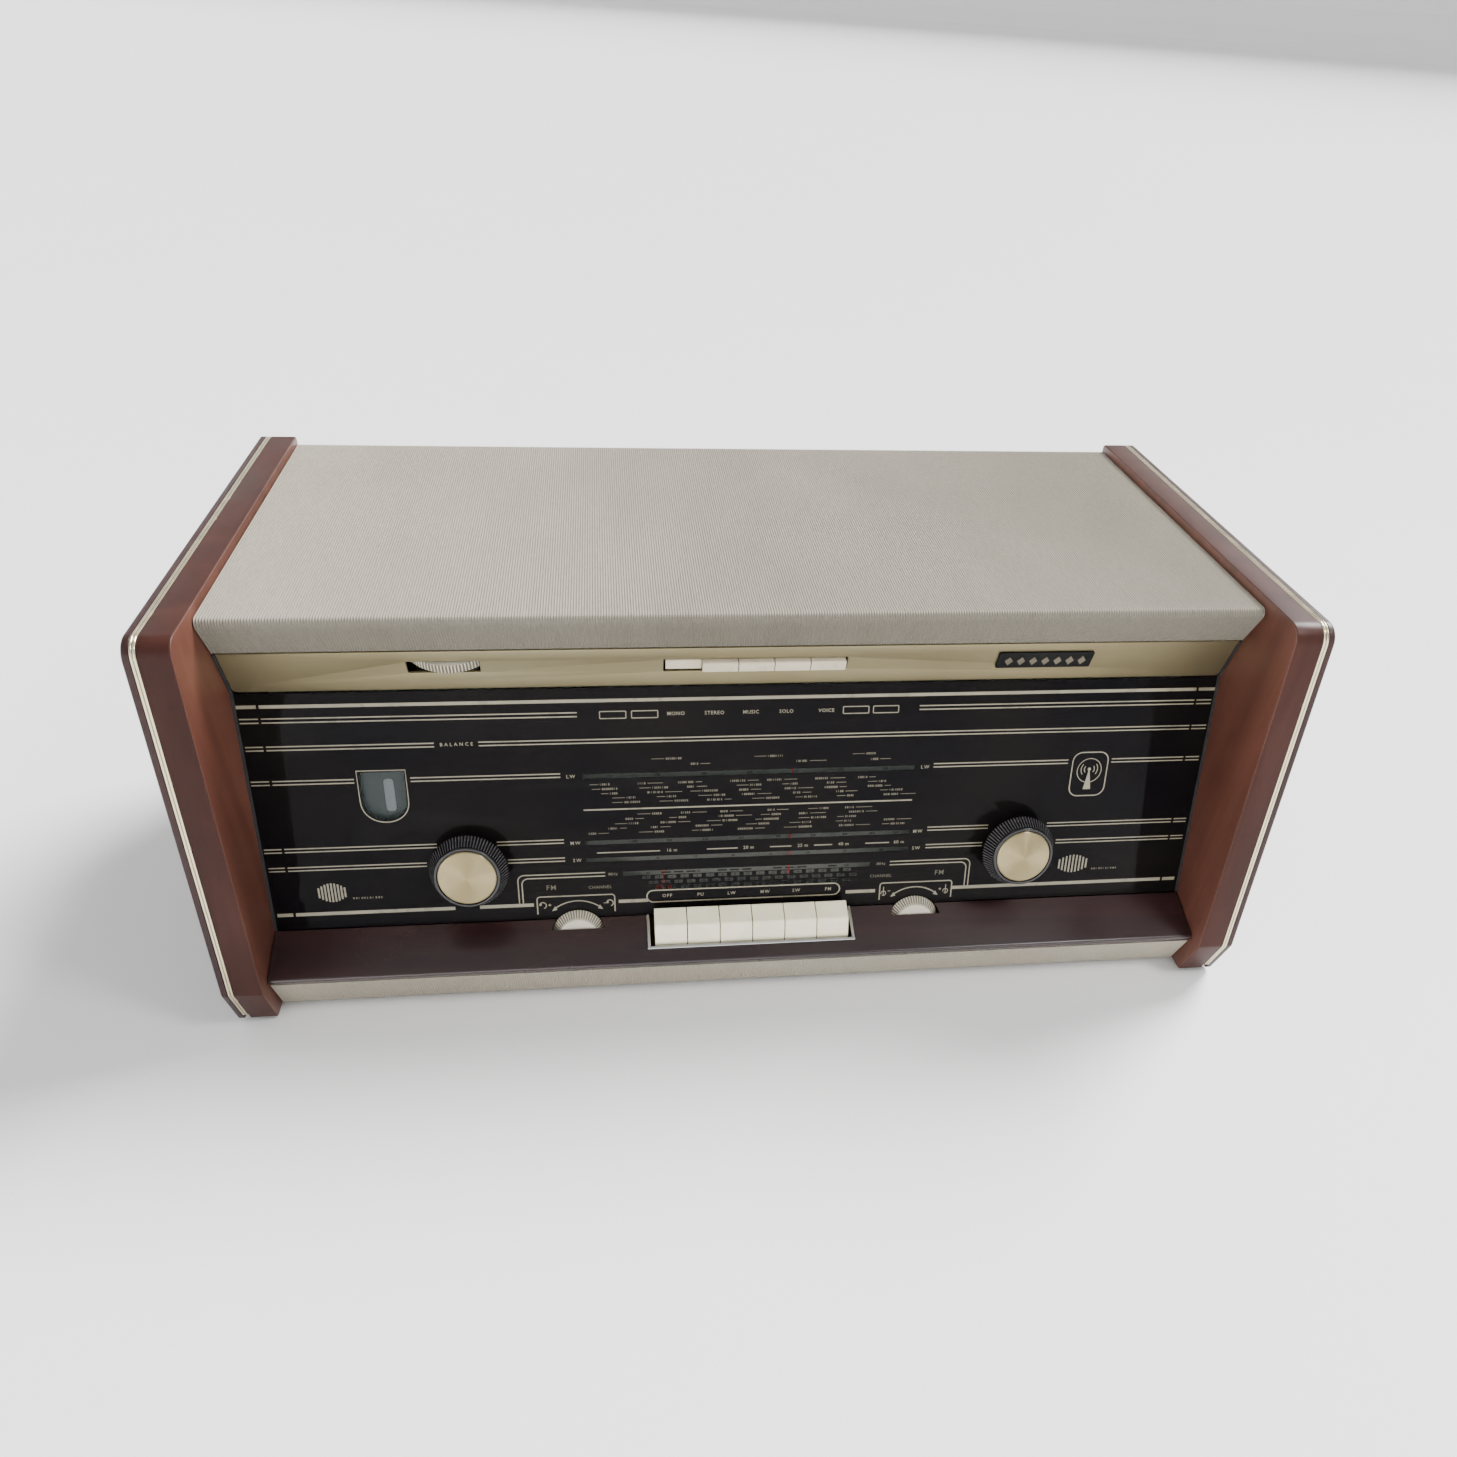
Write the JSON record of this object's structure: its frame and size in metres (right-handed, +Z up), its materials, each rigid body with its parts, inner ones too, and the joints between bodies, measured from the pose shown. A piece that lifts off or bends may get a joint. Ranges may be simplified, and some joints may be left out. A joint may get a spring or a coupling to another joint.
{
  "type": "table radio receiver",
  "caption": "Table-top stereo valve radio with wooden cheeks, vinyl-covered top, leaning dial glass, two knobs, piano keys and mode buttons.",
  "frame": {"origin": "centre of the footprint, on the table", "axes": "+X to the listener's right, +Y to the back, +Z up"},
  "size_m": [0.65, 0.3315, 0.255],
  "materials": {
    "cheek_wood": "satin stained and lacquered mahogany-coloured wood",
    "skin_wood": "darker stained, lacquered wood",
    "bead": "bright inlaid double bead",
    "vinyl": "warm grey ribbed vinyl leathercloth",
    "plain_wood": "bare blockboard",
    "lacquer": "high-gloss dark red-brown lacquer",
    "gold_anodised": "satin champagne anodised, finely brushed",
    "black_plastic": "black moulded",
    "dial_glass": "clear plate glass printed black and gold behind, so it looks opaque",
    "hardboard": "brown perforated hardboard",
    "brass_screw": "brassed steel",
    "felt": "dark grey felt",
    "chrome": "bright chrome",
    "zinc_steel": "zinc-plated sheet steel",
    "core_steel": "varnished laminations",
    "copper_winding": "varnished paper over copper wire",
    "valve_glass": "clear valve glass",
    "aluminium": "plain drawn aluminium",
    "painted_plate": "cream reflector paint",
    "eye_glass": "indicator tube glass",
    "brown_plastic": "dark brown phenolic",
    "cord": "braided drive cord",
    "ferrite": "dark grey ferrite",
    "rubber": "black rubber",
    "brass": "turned brass",
    "spun_brass": "spun champagne brass, fine concentric turning",
    "cream_plastic": "cream moulded",
    "red_pointer": "red enamel",
    "ivory": "ivory moulded, slightly yellowed"
  },
  "bodies": {
    "cabinet": {"left_cheek": "cheek_wood", "left_cheek_skin": "skin_wood", "left_bead": "bead", "right_cheek": "cheek_wood", "right_cheek_skin": "skin_wood", "right_bead": "bead", "top_cover": "vinyl", "bottom_board": "plain_wood", "front_rail": "vinyl", "shelf": "lacquer", "fascia_batten": "plain_wood", "gold_strip": "gold_anodised", "badge_plate": "black_plastic", "dial_glass": "dial_glass", "back_panel": "hardboard", "back_screws": "brass_screw", "felt_pads": "felt", "key_surround": "chrome", "chassis": "zinc_steel", "mains_transformer": "core_steel", "output_transformers": "core_steel", "transformer_windings": "copper_winding", "valves": "valve_glass", "screening_cans": "aluminium", "capacitor_cans": "aluminium", "dial_plate": "painted_plate", "pointer_rail": "zinc_steel", "dial_lamps": "valve_glass", "magic_eye": "eye_glass", "potentiometers": "zinc_steel", "push_switch": "brown_plastic", "key_frame": "zinc_steel", "gang_frame": "aluminium", "drive_cord": "cord", "ferrite_rod": "ferrite", "socket_panel": "brown_plastic", "mains_gland": "rubber"},
    "tuning": {"tuning_shaft": "brass", "tuning_knob": "black_plastic", "tuning_cap": "spun_brass"},
    "volume": {"volume_knob": "black_plastic", "volume_cap": "spun_brass"},
    "gang": {"gang_rotor": "aluminium", "drive_drum": "cream_plastic"},
    "am_carriage": {"am_pointer": "red_pointer"},
    "fm_carriage": {"fm_pointer": "red_pointer"},
    "balance": {"balance_wheel": "ivory"},
    "bass": {"bass_wheel": "ivory"},
    "treble": {"treble_wheel": "ivory"},
    "mode_1": {"push_1": "ivory"},
    "mode_2": {"push_2": "ivory"},
    "mode_3": {"push_3": "ivory"},
    "mode_4": {"push_4": "ivory"},
    "mode_5": {"push_5": "ivory"},
    "piano_1": {"key_1": "ivory"},
    "piano_2": {"key_2": "ivory"},
    "piano_3": {"key_3": "ivory"},
    "piano_4": {"key_4": "ivory"},
    "piano_5": {"key_5": "ivory"},
    "piano_6": {"key_6": "ivory"}
  },
  "joints": [
    {"name": "tuning_turn", "type": "hinge", "parent": "cabinet", "child": "tuning", "pos_m": [0.1765, -0.11051, 0.08486], "axis": [0, 0.9613, -0.2756], "range_deg": [-1500, 880]},
    {"name": "gang_turn", "type": "hinge", "parent": "cabinet", "child": "gang", "pos_m": [0.095, -0.09833, 0.12735], "axis": [0, 0.9613, -0.2756], "range_deg": [-113, 67]},
    {"name": "am_slide", "type": "slide", "parent": "cabinet", "child": "am_carriage", "axis": [1, 0, 0], "range_m": [-0.1315, 0.0775]},
    {"name": "fm_slide", "type": "slide", "parent": "cabinet", "child": "fm_carriage", "axis": [1, 0, 0], "range_m": [-0.024, 0.136]},
    {"name": "volume_turn", "type": "hinge", "parent": "cabinet", "child": "volume", "pos_m": [-0.1765, -0.11051, 0.08486], "axis": [0, 0.9613, -0.2756], "range_deg": [-135, 135]},
    {"name": "balance_turn", "type": "hinge", "parent": "cabinet", "child": "balance", "pos_m": [-0.1765, -0.05721, 0.21522], "axis": [0, -0.2726, 0.9621], "range_deg": [-120, 120]},
    {"name": "bass_turn", "type": "hinge", "parent": "cabinet", "child": "bass", "pos_m": [-0.112, -0.12492, 0.03458], "axis": [0, 0.9613, -0.2756], "range_deg": [-130, 130]},
    {"name": "treble_turn", "type": "hinge", "parent": "cabinet", "child": "treble", "pos_m": [0.112, -0.12492, 0.03458], "axis": [0, 0.9613, -0.2756], "range_deg": [-130, 130]},
    {"name": "push_1_slide", "type": "slide", "parent": "cabinet", "child": "mode_1", "axis": [0, 0.9621, 0.2726], "range_m": [-0.003, 0]},
    {"name": "push_2_slide", "type": "slide", "parent": "cabinet", "child": "mode_2", "axis": [0, 0.9621, 0.2726], "range_m": [0, 0.003], "stiffness_N_per_m": 250, "springref_m": -0.001},
    {"name": "push_3_slide", "type": "slide", "parent": "cabinet", "child": "mode_3", "axis": [0, 0.9621, 0.2726], "range_m": [0, 0.003], "stiffness_N_per_m": 250, "springref_m": -0.001},
    {"name": "push_4_slide", "type": "slide", "parent": "cabinet", "child": "mode_4", "axis": [0, 0.9621, 0.2726], "range_m": [0, 0.003], "stiffness_N_per_m": 250, "springref_m": -0.001},
    {"name": "push_5_slide", "type": "slide", "parent": "cabinet", "child": "mode_5", "axis": [0, 0.9621, 0.2726], "range_m": [0, 0.003], "stiffness_N_per_m": 250, "springref_m": -0.001},
    {"name": "key_1_press", "type": "hinge", "parent": "cabinet", "child": "piano_1", "pos_m": [-0.0527, -0.05, 0.036], "axis": [1, 0, 0], "range_deg": [0, 3.5], "stiffness_Nm_per_rad": 2, "springref_deg": -1.72},
    {"name": "key_2_press", "type": "hinge", "parent": "cabinet", "child": "piano_2", "pos_m": [-0.0315, -0.05, 0.036], "axis": [1, 0, 0], "range_deg": [0, 3.5], "stiffness_Nm_per_rad": 2, "springref_deg": -1.72},
    {"name": "key_3_press", "type": "hinge", "parent": "cabinet", "child": "piano_3", "pos_m": [-0.0103, -0.05, 0.036], "axis": [1, 0, 0], "range_deg": [0, 3.5], "stiffness_Nm_per_rad": 2, "springref_deg": -1.72},
    {"name": "key_4_press", "type": "hinge", "parent": "cabinet", "child": "piano_4", "pos_m": [0.0109, -0.05, 0.036], "axis": [1, 0, 0], "range_deg": [0, 3.5], "stiffness_Nm_per_rad": 2, "springref_deg": -1.72},
    {"name": "key_5_press", "type": "hinge", "parent": "cabinet", "child": "piano_5", "pos_m": [0.0321, -0.05, 0.036], "axis": [1, 0, 0], "range_deg": [0, 3.5], "stiffness_Nm_per_rad": 2, "springref_deg": -1.72},
    {"name": "key_6_press", "type": "hinge", "parent": "cabinet", "child": "piano_6", "pos_m": [0.0533, -0.05, 0.036], "axis": [1, 0, 0], "range_deg": [0, 3.5], "stiffness_Nm_per_rad": 2, "springref_deg": -1.72}
  ],
  "couplings": [
    {"joint": "gang_turn", "follows": "tuning_turn", "ratio": 0.075},
    {"joint": "am_slide", "follows": "tuning_turn", "m_per_rad": 0.005}
  ]
}
